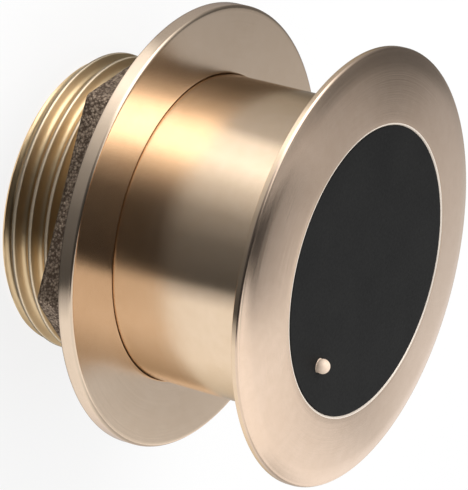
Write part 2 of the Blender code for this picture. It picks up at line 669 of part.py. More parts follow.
def transformer():
    """Toroid core inside a winding that covers most of the ring."""
    core_bottom = CORE_TOP - CORE_HEIGHT
    turned("transformer_core", [
        (CORE_OUTER, CORE_TOP), (CORE_OUTER, core_bottom), (CORE_INNER, core_bottom),
        (CORE_INNER, CORE_TOP)], FERRITE, steps=SMALL_STEPS)
    section = rounded_section(WINDING_INNER, WINDING_OUTER, WINDING_TOP - WINDING_HEIGHT,
                              WINDING_TOP, WINDING_THICKNESS)
    winding = swept("transformer_winding", section, SMALL_STEPS, sweep=WINDING_SWEEP,
                    collection=PARTS)
    dress(winding, ENAMEL_COPPER)
    space = turned("core_space", [
        (CORE_OUTER + FIT_GAP, CORE_TOP + FIT_GAP), (CORE_OUTER + FIT_GAP, core_bottom - FIT_GAP),
        (CORE_INNER - FIT_GAP, core_bottom - FIT_GAP), (CORE_INNER - FIT_GAP, CORE_TOP + FIT_GAP)],
        steps=SMALL_STEPS, collection=CUTTERS)
    combine(winding, space, "DIFFERENCE")


# Potting plug and cable gland in the end of the stem

def potting_plug():
    """Plug that fills the bore, with a pocket for the transformer and a seat for the board."""
    board_seat = BOARD_RADIUS + FIT_GAP
    barrel_hole = GLAND_BARREL + FIT_GAP
    return turned("potting_plug", [
        (PLUG_RADIUS, BOARD_TOP), (PLUG_RADIUS, POTTING_BOTTOM), (barrel_hole, POTTING_BOTTOM),
        (barrel_hole, POCKET_FLOOR), (POCKET_RADIUS, POCKET_FLOOR), (POCKET_RADIUS, BOARD_LEDGE),
        (board_seat, BOARD_LEDGE), (board_seat, BOARD_TOP)], POTTING_EPOXY, steps=SMALL_STEPS)


def cable_gland():
    """Body cast into the potting, with its grommet, washer and hexagon cap."""
    seat = GROMMET_TOP + FIT_GAP
    socket = GROMMET_RADIUS + FIT_GAP
    barrel_top = POCKET_FLOOR
    turned("gland_body", [
        (GLAND_BARREL, barrel_top), (GLAND_BARREL, GLAND_FLANGE_TOP),
        (GLAND_FLANGE_RADIUS, GLAND_FLANGE_TOP), (GLAND_FLANGE_RADIUS, GLAND_FLANGE_BOTTOM),
        (GLAND_BARREL, GLAND_FLANGE_BOTTOM), (GLAND_BARREL, GLAND_END), (socket, GLAND_END),
        (socket, seat), (GLAND_BORE, seat), (GLAND_BORE, barrel_top)],
        GLAND_NYLON, steps=SMALL_STEPS)
    turned("gland_grommet", [
        (GROMMET_RADIUS, GROMMET_TOP), (GROMMET_RADIUS, GLAND_END + FIT_GAP),
        (CABLE_HOLE, GLAND_END + FIT_GAP), (CABLE_HOLE, GROMMET_TOP)],
        GROMMET_RUBBER, steps=SMALL_STEPS)
    washer_bottom = WASHER_TOP - WASHER_THICKNESS
    turned("gland_washer", [
        (GLAND_BARREL, WASHER_TOP), (GLAND_BARREL, washer_bottom),
        (GLAND_NUT_HOLE, washer_bottom), (GLAND_NUT_HOLE, WASHER_TOP)],
        SILVERED, steps=SMALL_STEPS)
    cap_top = GLAND_FLANGE_BOTTOM - FIT_GAP
    cap = hexagon("gland_nut", GLAND_NUT_FLATS, GLAND_NUT_BOTTOM, cap_top, 2 * FIT_GAP,
                  finish=GLAND_NYLON)
    inner = GLAND_BARREL + FIT_GAP
    hollow = turned("gland_nut_hollow", [
        (0.0, cap_top + CUTTER_REACH), (inner, cap_top + CUTTER_REACH),
        (inner, GLAND_NUT_INSIDE), (GLAND_NUT_HOLE, GLAND_NUT_INSIDE),
        (GLAND_NUT_HOLE, GLAND_NUT_BOTTOM - CUTTER_REACH),
        (0.0, GLAND_NUT_BOTTOM - CUTTER_REACH)], steps=SMALL_STEPS, collection=CUTTERS)
    combine(cap, hollow, "DIFFERENCE")


def build():
    """Model every piece of the transducer."""
    housing()
    hull_nut()
    frame = tilted_frame()
    acoustic_window(frame)
    temperature_stud()
    thermistor()
    piezo_stack(frame)
    element_leads(frame)
    circuit_board()
    transformer()
    potting_plug()
    cable_gland()
    bpy.context.view_layer.update()


build()
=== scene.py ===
# %% [markdown]
# # A through-hull sonar transducer in bronze
#
# The object is a depth sounder that is fitted through the bottom of a boat. A turned
# bronze housing carries a black acoustic window in its wide, low head. The stem goes
# through the hull, and a big flanged nut on its thread pulls the head tight from inside.
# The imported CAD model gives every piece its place. This lesson gives the pieces their
# finished shapes and their metal, rubber and resin.

# %% Load the model as a fixed frame
import math

import bmesh
import bpy
from mathutils import Matrix, Vector, noise


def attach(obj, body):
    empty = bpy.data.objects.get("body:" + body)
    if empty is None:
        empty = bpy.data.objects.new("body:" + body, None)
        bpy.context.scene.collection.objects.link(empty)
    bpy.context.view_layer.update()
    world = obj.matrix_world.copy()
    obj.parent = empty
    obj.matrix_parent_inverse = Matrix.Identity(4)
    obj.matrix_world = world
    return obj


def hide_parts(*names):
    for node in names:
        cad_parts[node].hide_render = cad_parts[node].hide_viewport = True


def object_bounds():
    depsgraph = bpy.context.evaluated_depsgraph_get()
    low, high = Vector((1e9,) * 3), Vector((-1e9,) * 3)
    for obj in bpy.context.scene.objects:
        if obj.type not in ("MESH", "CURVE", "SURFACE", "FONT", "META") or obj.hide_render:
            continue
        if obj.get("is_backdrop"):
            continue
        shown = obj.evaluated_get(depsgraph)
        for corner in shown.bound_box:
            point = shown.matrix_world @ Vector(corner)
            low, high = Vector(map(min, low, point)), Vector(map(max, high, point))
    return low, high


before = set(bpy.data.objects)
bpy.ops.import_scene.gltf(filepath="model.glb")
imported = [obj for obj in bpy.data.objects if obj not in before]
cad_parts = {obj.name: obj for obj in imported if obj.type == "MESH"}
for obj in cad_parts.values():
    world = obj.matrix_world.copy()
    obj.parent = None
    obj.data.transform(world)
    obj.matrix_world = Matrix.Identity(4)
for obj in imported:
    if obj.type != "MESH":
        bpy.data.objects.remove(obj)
cad_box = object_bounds()

# %% [markdown]
# ## The named sizes
#
# The source of the model works in named sizes, and the pieces below repeat the ones that
# they need, in metres. Heights are measured up from the stem's end, which stands on the
# floor. The first lines say how fine the new meshes are: how many steps go round the
# axis, how close two points must lie to be welded, how far from an edge still counts as
# near it, and how long an edge may be.

# %% Sizes of the housing, the thread and the nut
MM = 0.001
TURN_STEPS, NUT_STEPS = 192, 384
WELD, NEAR = 0.02 * MM, 0.1 * MM
STEM_MESH, NUT_MESH, NUT_THREAD_MESH = 0.25 * MM, 0.45 * MM, 0.5 * MM
EDGE_BREAK, SHANK_BREAK = 0.15 * MM, 0.12 * MM

HEAD_RADIUS, HEAD_EDGE = 39.5 * MM, 0.5 * MM
SEAT_HEIGHT, RIM_TOP, FACE_HEIGHT = 56.6 * MM, 57.4 * MM, 59.9 * MM
RECESS_RADIUS, LIP_CHAMFER, LIP_LAND, LEDGE_HEIGHT = 26.1 * MM, 0.2 * MM, 0.2 * MM, 55.4 * MM
FACE_SPHERE, ROLL_START = 230.0 * MM, 35.6 * MM
SHANK_RADIUS, SEAT_FILLET = 28.2 * MM, 1.0 * MM
BORE_RADIUS, BORE_CHAMFER = 23.0 * MM, 0.5 * MM

THREAD_RADIUS, PITCH, THREAD_DEPTH = 27.5 * MM, 3.5 * MM, 1.6 * MM
CREST, FLANK = 0.55 * MM, math.radians(30)
THREAD_TOP, RELIEF_RADIUS, RELIEF_TOP = 19.6 * MM, 25.8 * MM, 24.8 * MM
STEM_CHAMFER, GROOVE_CENTER, CREST_ROUND = 1.8 * MM, 2.95 * MM, 0.24 * MM

NUT_FACE, NUT_REAR, FLANGE_THICKNESS = 25.25 * MM, 14.8 * MM, 2.9 * MM
FLANGE_RADIUS, NUT_EDGE = 40.65 * MM, 0.6 * MM
ACROSS_FLATS, HEX_TURN, HEX_ROUND = 64.0 * MM, math.radians(28.15), 1.6 * MM
HEX_FLAT, HEX_FILLET = ACROSS_FLATS / 2, 0.9 * MM
NUT_BORE, NUT_MINOR, COUNTERBORE, CLEARANCE = 28.3 * MM, 26.15 * MM, 3.4 * MM, 0.25 * MM
FACE_BREAK, BACK_BREAK = 0.2 * MM, 0.25 * MM

WINDOW_RADIUS, PLUG_RADIUS, WINDOW_LEDGE = 26.0 * MM, 22.7 * MM, 55.5 * MM
WEDGE_HEIGHT, WEDGE_TILT = 49.575 * MM, math.radians(12)
WINDOW_BAND, HOLE_GAP = 0.5 * MM, 0.1 * MM
STUD_ORBIT, STUD_RADIUS, STUD_STANDOUT, STUD_END = 19.8 * MM, 1.33 * MM, 0.6 * MM, 49.075 * MM
STUD_FLARE, STUD_BREAK = 0.2 * MM, 0.1 * MM
print("head", round(2 * HEAD_RADIUS / MM, 1), "mm across, pitch", PITCH / MM, "mm")

# %% [markdown]
# ## The camera
#
# The photograph shows the object lying over to the left, seen from the head's side.
# Here the object stands on its stem, so the camera is rolled instead. Its three axes
# are written as the columns of a matrix: right, up, and back towards the lens. A long
# lens from far away gives the photograph's small perspective.

# %% Camera at the photograph's angle
CAMERA_AXES = [(0.3096, 0.4358, 0.8451), (-0.5366, 0.8138, -0.2231), (-0.7850, -0.3845, 0.4858)]
CAMERA_PLACE = Vector((-469.21, -231.44, 323.48)) * MM
FOCAL_PIXELS, PICTURE_HEIGHT, SENSOR = 3355.4, 490, 36.0


def make_camera():
    """A camera whose axes are given as right, up and back."""
    data = bpy.data.cameras.new("camera")
    data.sensor_width = SENSOR
    data.lens = FOCAL_PIXELS * SENSOR / PICTURE_HEIGHT
    made = bpy.data.objects.new("camera", data)
    bpy.context.scene.collection.objects.link(made)
    turn = Matrix([Vector(axis).normalized() for axis in CAMERA_AXES]).transposed()
    made.matrix_world = Matrix.Translation(CAMERA_PLACE) @ turn.to_4x4()
    bpy.context.scene.camera = made
    return made


camera = make_camera()
print("lens", round(camera.data.lens, 1), "mm at", [round(v, 3) for v in camera.location])

# %% [markdown]
# ## Turning a profile
#
# Almost every piece of this object was made on a lathe, so it is a profile turned about
# the axis. A profile starts as a few corners joined by edges. A bevel of single corners
# makes each fillet or broken edge, and `spin` turns the whole line. Sorting the faces
# afterwards makes the mesh come out the same each run.

# %% Helpers for profiles
def draw_line(mesh, corners):
    """Join corners (radius, height) in the XZ plane and return their points."""
    points = [mesh.verts.new((r, 0.0, z)) for r, z in corners]
    for first, second in zip(points, points[1:]):
        mesh.edges.new((first, second))
    return points


def round_corner(mesh, point, reach, segments=4):
    """Bevel one corner of a line; the arc starts this far along both edges."""
    bmesh.ops.bevel(mesh, geom=[point], offset=reach, offset_type="OFFSET",
                    segments=segments, profile=0.5, affect="VERTICES", material=-1)


def split_long_edges(mesh, longest):
    """Cut every edge of a line into pieces no longer than this."""
    for edge in mesh.edges[:]:
        cuts = math.ceil(edge.calc_length() / longest) - 1
        if cuts > 0:
            bmesh.ops.subdivide_edges(mesh, edges=[edge], cuts=cuts)


def settle_order(mesh):
    """Sort edges and faces by their points; some operators leave them in any order."""
    mesh.verts.index_update()
    count = len(mesh.verts)

    def place(part):
        numbers = sorted(point.index for point in part.verts)
        return (numbers[0] * count + numbers[-1]) * count + numbers[len(numbers) // 2]

    mesh.edges.sort(key=place)
    mesh.faces.sort(key=place)


def spin_line(mesh, steps=TURN_STEPS, turns=1, rise=0.0):
    """Turn the line about Z; with a rise it climbs, and each further turn is a copy."""
    bmesh.ops.spin(mesh, geom=mesh.verts[:] + mesh.edges[:], cent=(0, 0, 0), axis=(0, 0, 1),
                   dvec=(0, 0, rise / steps), angle=2 * math.pi, steps=steps,
                   use_merge=rise == 0.0)
    settle_order(mesh)
    first_turn = mesh.verts[:] + mesh.edges[:] + mesh.faces[:]
    for turn in range(1, turns):
        copy = bmesh.ops.duplicate(mesh, geom=first_turn)["geom"]
        points = [item for item in copy if isinstance(item, bmesh.types.BMVert)]
        bmesh.ops.translate(mesh, verts=points, vec=(0, 0, rise * turn))


def add_mesh(mesh, other):
    """Move the geometry of another bmesh into this one."""
    carrier = bpy.data.meshes.new("carrier")
    other.to_mesh(carrier)
    other.free()
    mesh.from_mesh(carrier)
    bpy.data.meshes.remove(carrier)


print("steps round the axis:", TURN_STEPS, "and for the nut", NUT_STEPS)

# %% [markdown]
# ## Finishing a mesh
#
# A turned skin comes out of its operators with doubled points, and with normals that may
# point either way. Every new piece goes through the same last step: the doubles are
# merged, the normals are made to point outwards, and edges above a given angle stay crisp
# while the rest is shaded smooth. Then the piece is fixed to the model's one body.

# %% Helper that finishes a mesh
def to_object(mesh, name):
    """Turn a bmesh into an object of the scene."""
    data = bpy.data.meshes.new(name)
    mesh.to_mesh(data)
    mesh.free()
    made = bpy.data.objects.new(name, data)
    bpy.context.scene.collection.objects.link(made)
    return made


def finish_mesh(mesh, name, sharp=32, merge=0.004 * MM):
    """Merge doubles, point the normals outwards, mark the crisp edges, make the object."""
    bmesh.ops.remove_doubles(mesh, verts=mesh.verts, dist=merge)
    bmesh.ops.recalc_face_normals(mesh, faces=mesh.faces)
    for face in mesh.faces:
        face.smooth = True
    for edge in mesh.edges:
        edge.smooth = edge.calc_face_angle(0.0) < math.radians(sharp)
    gaps = sum(not edge.is_manifold for edge in mesh.edges)
    made = to_object(mesh, name)
    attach(made, "root")
    print(name, "has", len(made.data.polygons), "faces and", gaps, "open edges")
    return made


# %% [markdown]
# ## The stem's thread
#
# On the real stem a single-point tool cuts a rounded groove that climbs 3.5 mm a turn.
# One pitch of the groove is drawn from crest to crest: the sharp V is bevelled into a
# round root, and the crests lose their burr. `spin` with a rise sweeps it up the stem,
# and each turn joins the one below. The lathe's chamfer at the end and the runout groove
# at the top are then turned off: every point outside the allowed cone is pressed onto it.
# A bump could stand in for a small thread, but this one shows in the outline.

# %% Sweep the thread and turn its ends off
def press_radius(mesh, bottom, top, allowed):
    """Hold the points between two heights, each at the radius allowed at its height."""
    for point in mesh.verts:
        point.co.z = min(max(point.co.z, bottom), top)
        radius = math.hypot(point.co.x, point.co.y)
        factor = allowed(point.co.z, radius) / radius
        point.co.x *= factor
        point.co.y *= factor
    bmesh.ops.remove_doubles(mesh, verts=mesh.verts, dist=WELD)


THREAD_TURNS = 8
groove_half = (PITCH - CREST) / 2
sharp_depth = groove_half / math.tan(FLANK)
root_share = 2 * (1 - math.cos(math.radians(45))) * math.cos(FLANK)
root_reach = (sharp_depth - THREAD_DEPTH) / root_share
stem_end = THREAD_RADIUS - STEM_CHAMFER
thread_stop = THREAD_TOP + THREAD_RADIUS - RELIEF_RADIUS


def sweep_thread():
    """The stem's helix, drawn for one pitch and repeated, from below the stem's end."""
    center = GROOVE_CENTER - 2 * PITCH
    mesh = bmesh.new()
    points = draw_line(mesh, [
        (THREAD_RADIUS, center - PITCH / 2), (THREAD_RADIUS, center - groove_half),
        (THREAD_RADIUS - sharp_depth, center),
        (THREAD_RADIUS, center + groove_half), (THREAD_RADIUS, center + PITCH / 2)])
    round_corner(mesh, points[2], root_reach, 8)
    round_corner(mesh, points[1], CREST_ROUND, 4)
    round_corner(mesh, points[3], CREST_ROUND, 4)
    split_long_edges(mesh, STEM_MESH)
    spin_line(mesh, turns=THREAD_TURNS, rise=PITCH)
    bmesh.ops.remove_doubles(mesh, verts=mesh.verts, dist=WELD)
    press_radius(mesh, 0.0, thread_stop,
                 lambda z, r: min(r, stem_end + z, RELIEF_RADIUS + thread_stop - z))
    return mesh


thread = sweep_thread()
print("the thread has", len(thread.verts), "points and stops at", round(thread_stop / MM, 2), "mm")

# %% [markdown]
# ## The bronze housing
#
# The stem, shank and head are one casting, turned all over. The profile runs up the
# outside from the thread's runout groove, under the head, round its thin edge, and then
# down the recess and the bore to the stem's end. A narrow land with a chamfer runs round
# the window, and its brightness is painted highlight, given by its finish. The face is a
# very flat dome that rolls over a little more in its last millimetres. Both arcs are made
# by spinning one point about the arc's own centre, the first of which lies far below the
# object.

# %% Turn the housing and join the thread to it
FACE_STEPS, ROLL_STEPS = 8, 10


def draw_face(mesh, start, land, edge_r, edge_z):
    """Two arcs: the flat dome outwards from the land, and the roll down to the rim."""
    center = FACE_HEIGHT - math.sqrt(FACE_SPHERE ** 2 - land ** 2)
    sweep = math.asin(ROLL_START / FACE_SPHERE) - math.asin(land / FACE_SPHERE)
    arc = bmesh.ops.spin(mesh, geom=[start], cent=(0, 0, center), axis=(0, 1, 0),
                         dvec=(0, 0, 0), angle=sweep, steps=FACE_STEPS)
    rolled = [item for item in arc["geom_last"] if isinstance(item, bmesh.types.BMVert)]
    roll_r, roll_z = rolled[0].co.x, rolled[0].co.z
    slope = math.asin(roll_r / FACE_SPHERE)
    chord = math.hypot(edge_r - roll_r, roll_z - edge_z)
    bend = 2 * (math.atan2(roll_z - edge_z, edge_r - roll_r) - slope)
    radius = chord / (2 * math.sin(bend / 2))
    middle = (roll_r - radius * math.sin(slope), 0, roll_z - radius * math.cos(slope))
    bmesh.ops.spin(mesh, geom=rolled, cent=middle, axis=(0, 1, 0), dvec=(0, 0, 0),
                   angle=bend, steps=ROLL_STEPS)
    print("the face rolls over by", round(math.degrees(bend), 1), "degrees at its edge")


def turned_housing():
    """The housing's turned skin, open where the thread goes."""
    mesh = bmesh.new()
    edge_r, edge_z = HEAD_RADIUS - HEAD_EDGE, RIM_TOP + HEAD_EDGE
    outside = draw_line(mesh, [
        (RELIEF_RADIUS, thread_stop), (RELIEF_RADIUS, RELIEF_TOP - SHANK_RADIUS + RELIEF_RADIUS),
        (SHANK_RADIUS, RELIEF_TOP), (SHANK_RADIUS, SEAT_HEIGHT), (HEAD_RADIUS, SEAT_HEIGHT),
        (HEAD_RADIUS, edge_z), (edge_r, edge_z)])
    round_corner(mesh, outside[2], SHANK_BREAK, 2)
    round_corner(mesh, outside[3], SEAT_FILLET, 8)
    round_corner(mesh, outside[4], EDGE_BREAK, 3)
    round_corner(mesh, outside[5], 0.98 * HEAD_EDGE, 6)
    lip = RECESS_RADIUS + LIP_CHAMFER
    land = lip + LIP_LAND
    inside = draw_line(mesh, [
        (land, FACE_HEIGHT), (lip, FACE_HEIGHT), (RECESS_RADIUS, FACE_HEIGHT - LIP_CHAMFER),
        (RECESS_RADIUS, LEDGE_HEIGHT), (BORE_RADIUS, LEDGE_HEIGHT), (BORE_RADIUS, BORE_CHAMFER),
        (BORE_RADIUS + BORE_CHAMFER, 0.0), (stem_end, 0.0)])
    draw_face(mesh, inside[0], land, edge_r, edge_z)
    spin_line(mesh)
    return mesh


add_mesh(thread, turned_housing())
housing = finish_mesh(thread, "bronze_housing", sharp=28, merge=WELD)
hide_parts("housing")

# %% [markdown]
# ## The hull nut
#
# The nut is a sand casting: a wide flange with a hexagon behind it. Only the flange's
# face and rim, the rear face and the bore are machined, so the hexagon keeps the grain of
# the sand. The nut is spun like the housing, and then the points of the hexagon's zone
# are pressed out to a rounded hexagon. Inside, it has the stem's ridge as a groove, with
# a little clearance.

# %% Profile of the nut, inside and outside
NUT_TURNS, MOUTH_CHAMFER = 4, 0.05 * MM
crest_line = THREAD_RADIUS + CLEARANCE
crest_half = CREST / 2 + CLEARANCE / math.cos(FLANK) - CLEARANCE * math.tan(FLANK)
foot_half = crest_half + (crest_line - NUT_MINOR) * math.tan(FLANK)
mouth = crest_line + MOUTH_CHAMFER
seat_foot = NUT_FACE - COUNTERBORE - NUT_BORE + NUT_MINOR
nut_thread_top = seat_foot + mouth - NUT_MINOR


def nut_thread():
    """The nut's helix, from one groove to the next, with a chamfer at both ends."""
    center = GROOVE_CENTER + 1.5 * PITCH
    mesh = bmesh.new()
    draw_line(mesh, [
        (crest_line, center), (crest_line, center + crest_half),
        (NUT_MINOR, center + foot_half), (NUT_MINOR, center + PITCH - foot_half),
        (crest_line, center + PITCH - crest_half), (crest_line, center + PITCH)])
    split_long_edges(mesh, NUT_THREAD_MESH)
    spin_line(mesh, NUT_STEPS, NUT_TURNS, PITCH)
    bmesh.ops.remove_doubles(mesh, verts=mesh.verts, dist=WELD)
    press_radius(mesh, NUT_REAR, nut_thread_top,
                 lambda z, r: max(r, mouth - (z - NUT_REAR), NUT_MINOR + z - seat_foot))
    return mesh


def nut_skin():
    """The nut's turned skin from the counterbore over the face and rim to the rear."""
    mesh = bmesh.new()
    back = NUT_FACE - FLANGE_THICKNESS
    points = draw_line(mesh, [
        (mouth, nut_thread_top), (NUT_BORE, NUT_FACE - COUNTERBORE), (NUT_BORE, NUT_FACE),
        (FLANGE_RADIUS, NUT_FACE), (FLANGE_RADIUS, back), (HEX_FLAT, back),
        (HEX_FLAT, NUT_REAR), (mouth, NUT_REAR)])
    round_corner(mesh, points[2], FACE_BREAK, 4)
    round_corner(mesh, points[3], NUT_EDGE, 8)
    round_corner(mesh, points[4], BACK_BREAK, 4)
    round_corner(mesh, points[5], HEX_FILLET, 5)
    round_corner(mesh, points[6], HEX_FILLET, 5)
    split_long_edges(mesh, NUT_MESH)
    spin_line(mesh, NUT_STEPS)
    return mesh


nut_mesh = nut_thread()
print("the nut's thread runs from", round(min(p.co.z for p in nut_mesh.verts) / MM, 2),
      "to", round(max(p.co.z for p in nut_mesh.verts) / MM, 2), "mm")
add_mesh(nut_mesh, nut_skin())

# %% [markdown]
# ## The cast hexagon
#
# A sand casting has rounded corners and a skin that repeats the grains of the mould. The
# distance from the axis to a rounded hexagon is worked out for each angle, and the points
# are moved out by the difference. A separate six-sided block would be quicker to draw, but
# pressing keeps one skin with the flange. Then noise at three scales makes the relief:
# broad lumps from the pattern, pebbles of sand, and single grains. Each pair in the list
# is a depth and a size.

# %% Press out the hexagon and roughen it
FLANGE_BLEND, REAR_BLEND, SKIN_FROM = 7.2 * MM, 3.0 * MM, 0.3 * MM
SAND = [(0.10 * MM, 4.5 * MM), (0.07 * MM, 1.3 * MM), (0.05 * MM, 0.6 * MM)]


def hexagon_reach(angle):
    """How far the rounded hexagon's skin lies beyond its flats at this angle."""
    sixth = math.pi / 3
    off_flat = abs((angle - HEX_TURN + sixth / 2) % sixth - sixth / 2)
    to_corner = sixth / 2 - off_flat
    arc_center = (HEX_FLAT - HEX_ROUND) / math.cos(sixth / 2)
    across = arc_center * math.sin(to_corner)
    on_flat = HEX_FLAT / math.cos(off_flat)
    if across >= HEX_ROUND:
        return on_flat - HEX_FLAT
    on_arc = arc_center * math.cos(to_corner) + math.sqrt(HEX_ROUND ** 2 - across ** 2)
    return min(on_flat, on_arc) - HEX_FLAT


def press_hexagon(mesh):
    """Move the round boss out to a hexagon and give its cast skin some relief."""
    back = NUT_FACE - FLANGE_THICKNESS
    for point in mesh.verts:
        x, y, z = point.co
        radius = math.hypot(x, y)
        if z > back + WELD / 2 or radius < mouth + NEAR:
            continue
        if z > back - WELD:
            share = max(0.0, 1 - (radius - HEX_FLAT - HEX_FILLET) / FLANGE_BLEND)
        else:
            share = min(1.0, (radius - mouth) / REAR_BLEND)
        out = share * hexagon_reach(math.atan2(y, x))
        if share > 0.95 and z > NUT_REAR + SKIN_FROM:
            out += sum(depth * noise.noise(point.co / size) for depth, size in SAND)
        point.co.x *= (radius + out) / radius
        point.co.y *= (radius + out) / radius


press_hexagon(nut_mesh)
nut = finish_mesh(nut_mesh, "bronze_hull_nut", sharp=30, merge=WELD)
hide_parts("hull_nut")
print("hexagon", round(ACROSS_FLATS / MM), "mm across flats")

# %% [markdown]
# ## The acoustic window
#
# The window is a plug of black urethane that sound passes through. It is poured into the
# recess and its back is slanted, because the element behind it looks down a sloping hull.
# The outer wall is spun, the hole for the temperature stud is an extruded circle, and
# `bisect_plane` cuts both off along the slant. Filling between the wall and the hole closes
# the front and the back.

# %% Make the window
BELOW_SLANT = 40 * MM


def front_loop(mesh, height):
    """The open edges of a mesh that lie at this height."""
    return [edge for edge in mesh.edges if edge.is_boundary
            and all(abs(point.co.z - height) < WELD / 2 for point in edge.verts)]


def make_window():
    """A flanged plug with a slanted back and a hole through it."""
    mesh = bmesh.new()
    points = draw_line(mesh, [
        (WINDOW_RADIUS - WINDOW_BAND, FACE_HEIGHT), (WINDOW_RADIUS, FACE_HEIGHT),
        (WINDOW_RADIUS, WINDOW_LEDGE), (PLUG_RADIUS, WINDOW_LEDGE), (PLUG_RADIUS, BELOW_SLANT)])
    round_corner(mesh, points[1], EDGE_BREAK, 4)
    spin_line(mesh)
    hole = bmesh.ops.create_circle(mesh, segments=48, radius=STUD_RADIUS + HOLE_GAP,
                                   matrix=Matrix.Translation((0, -STUD_ORBIT, FACE_HEIGHT)))
    rim = list(dict.fromkeys(edge for point in hole["verts"] for edge in point.link_edges))
    down = bmesh.ops.extrude_edge_only(mesh, edges=rim)
    lower = [item for item in down["geom"] if isinstance(item, bmesh.types.BMVert)]
    bmesh.ops.translate(mesh, verts=lower, vec=(0, 0, BELOW_SLANT - FACE_HEIGHT))
    settle_order(mesh)
    bmesh.ops.triangle_fill(mesh, edges=front_loop(mesh, FACE_HEIGHT), use_beauty=True)
    settle_order(mesh)
    slant = Vector((math.sin(WEDGE_TILT), 0, math.cos(WEDGE_TILT)))
    bmesh.ops.bisect_plane(mesh, geom=mesh.verts[:] + mesh.edges[:] + mesh.faces[:],
                           plane_co=(0, 0, WEDGE_HEIGHT), plane_no=slant, clear_inner=True)
    settle_order(mesh)
    cut_edges = [edge for edge in mesh.edges if edge.is_boundary]
    bmesh.ops.triangle_fill(mesh, edges=cut_edges, use_beauty=True)
    settle_order(mesh)
    return mesh


window = finish_mesh(make_window(), "urethane_window", sharp=40)
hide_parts("acoustic_window")
print("window", round(2 * WINDOW_RADIUS / MM, 1), "mm across, its front at", FACE_HEIGHT / MM)

# %% [markdown]
# ## The temperature stud
#
# The small bright dot is a bronze stud that stands in the water and carries its heat to a
# bead inside. Its head is a ball that narrows again where it meets the window, and below
# that a pin fills the hole. The ball's outline is written as points on an arc.

# %% Make the stud
BALL_STEPS, STUD_STEPS = 20, 64


def make_stud():
    """A ball on a pin, turned on the axis and then moved to its hole."""
    mesh = bmesh.new()
    center = FACE_HEIGHT + STUD_STANDOUT
    sweep = math.pi / 2 + math.asin(STUD_STANDOUT / STUD_RADIUS)
    angles = [math.pi / 2 - step / BALL_STEPS * sweep for step in range(BALL_STEPS + 1)]
    ball = [(STUD_RADIUS * math.cos(angle), center + STUD_RADIUS * math.sin(angle))
            for angle in angles]
    points = draw_line(mesh, [*ball, (STUD_RADIUS, FACE_HEIGHT - STUD_FLARE),
                              (STUD_RADIUS, STUD_END), (0.0, STUD_END)])
    round_corner(mesh, points[-2], STUD_BREAK, 2)
    spin_line(mesh, STUD_STEPS)
    bmesh.ops.translate(mesh, verts=mesh.verts, vec=(0, -STUD_ORBIT, 0))
    return mesh


stud = finish_mesh(make_stud(), "bronze_stud", sharp=40)
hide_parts("temperature_stud")
print("stud top at", round((FACE_HEIGHT + STUD_STANDOUT + STUD_RADIUS) / MM, 2), "mm")

# %% [markdown]
# ## Materials: small helpers
#
# Every finish is a Principled shader. What is the same all over is set on the shader's own
# sockets. What changes over the surface comes from noise: a mix of two colours, a range
# of roughness, and a bump.

# %% Node helpers
def new_finish(name, **settings):
    """A material whose shader sockets are set by name."""
    made = bpy.data.materials.new(name)
    made.use_nodes = True
    shader = made.node_tree.nodes["Principled BSDF"]
    for socket, value in settings.items():
        shader.inputs[socket.replace("_", " ")].default_value = value
    return made, shader


def add_node(tree, kind, settings=None, **inputs):
    """A node with its settings, and its inputs by name as values or links."""
    node = tree.nodes.new(kind)
    for key, value in (settings or {}).items():
        setattr(node, key, value)
    for key, value in inputs.items():
        socket = node.inputs[int(key[1:]) if key[0] == "i" and key[1:].isdigit() else key]
        if isinstance(value, bpy.types.NodeSocket):
            tree.links.new(value, socket)
        else:
            socket.default_value = value
    return node


def math_node(tree, operation, first, second=0.0):
    """The result of one sum."""
    made = add_node(tree, "ShaderNodeMath", {"operation": operation}, i0=first, i1=second)
    return made.outputs[0]


print("the helpers so far make materials, nodes and sums")

# %% [markdown]
# ## Materials: places and mixes
#
# The patterns of this object are read at a point's place in the object itself, so that
# they stay with the piece when it is moved. The distance from the axis is needed often,
# because so much of the object is turned. A pattern then drives a range of values or a mix
# of two colours.

# %% Places and mixes
def object_place(tree):
    """The point's place in the object."""
    return add_node(tree, "ShaderNodeTexCoord").outputs["Object"]


def object_parts(tree):
    """The three parts of the point's place in the object."""
    return add_node(tree, "ShaderNodeSeparateXYZ", None, i0=object_place(tree)).outputs


def off_axis(tree, parts):
    """The level part of a place and its length, which is the distance from the axis."""
    flat = add_node(tree, "ShaderNodeCombineXYZ", None, i0=parts[0], i1=parts[1]).outputs[0]
    length = add_node(tree, "ShaderNodeVectorMath", {"operation": "LENGTH"}, i0=flat)
    return flat, length.outputs[1]


def spread(tree, value, low, high, from_low=0.3, from_high=0.7):
    """Map a noise value onto a range."""
    return add_node(tree, "ShaderNodeMapRange", None, i0=value, i1=from_low, i2=from_high,
                    i3=low, i4=high).outputs[0]


def two_tone(tree, share, first, second):
    """A mix of two colours, each a value or a link."""
    ends = [color if isinstance(color, bpy.types.NodeSocket) else (*color, 1.0)
            for color in (first, second)]
    return add_node(tree, "ShaderNodeMix", {"data_type": "RGBA"}, i0=share, i6=ends[0],
                    i7=ends[1]).outputs[2]


def color_and_roughness(tree, shader, color, rough):
    """Join a colour and a roughness to the shader."""
    tree.links.new(color, shader.inputs["Base Color"])
    tree.links.new(rough, shader.inputs["Roughness"])


print("a place is read in units, and a millimetre is", MM, "of one")

# %% [markdown]
# ## Materials: noise and bump
#
# Two kinds of noise are enough for cast, turned and moulded skins: soft clouds, and
# rounded cells that look like pebbles. Both take the size of their grain in millimetres,
# and so does the bump, because that is how a surface is measured.

# %% Noise and bump
def cloud(tree, size, detail=3.0, roughness=0.5):
    """Plain noise with cells of this many millimetres."""
    return add_node(tree, "ShaderNodeTexNoise", None, Vector=object_place(tree),
                    Scale=1 / (size * MM), Detail=detail, Roughness=roughness).outputs[0]


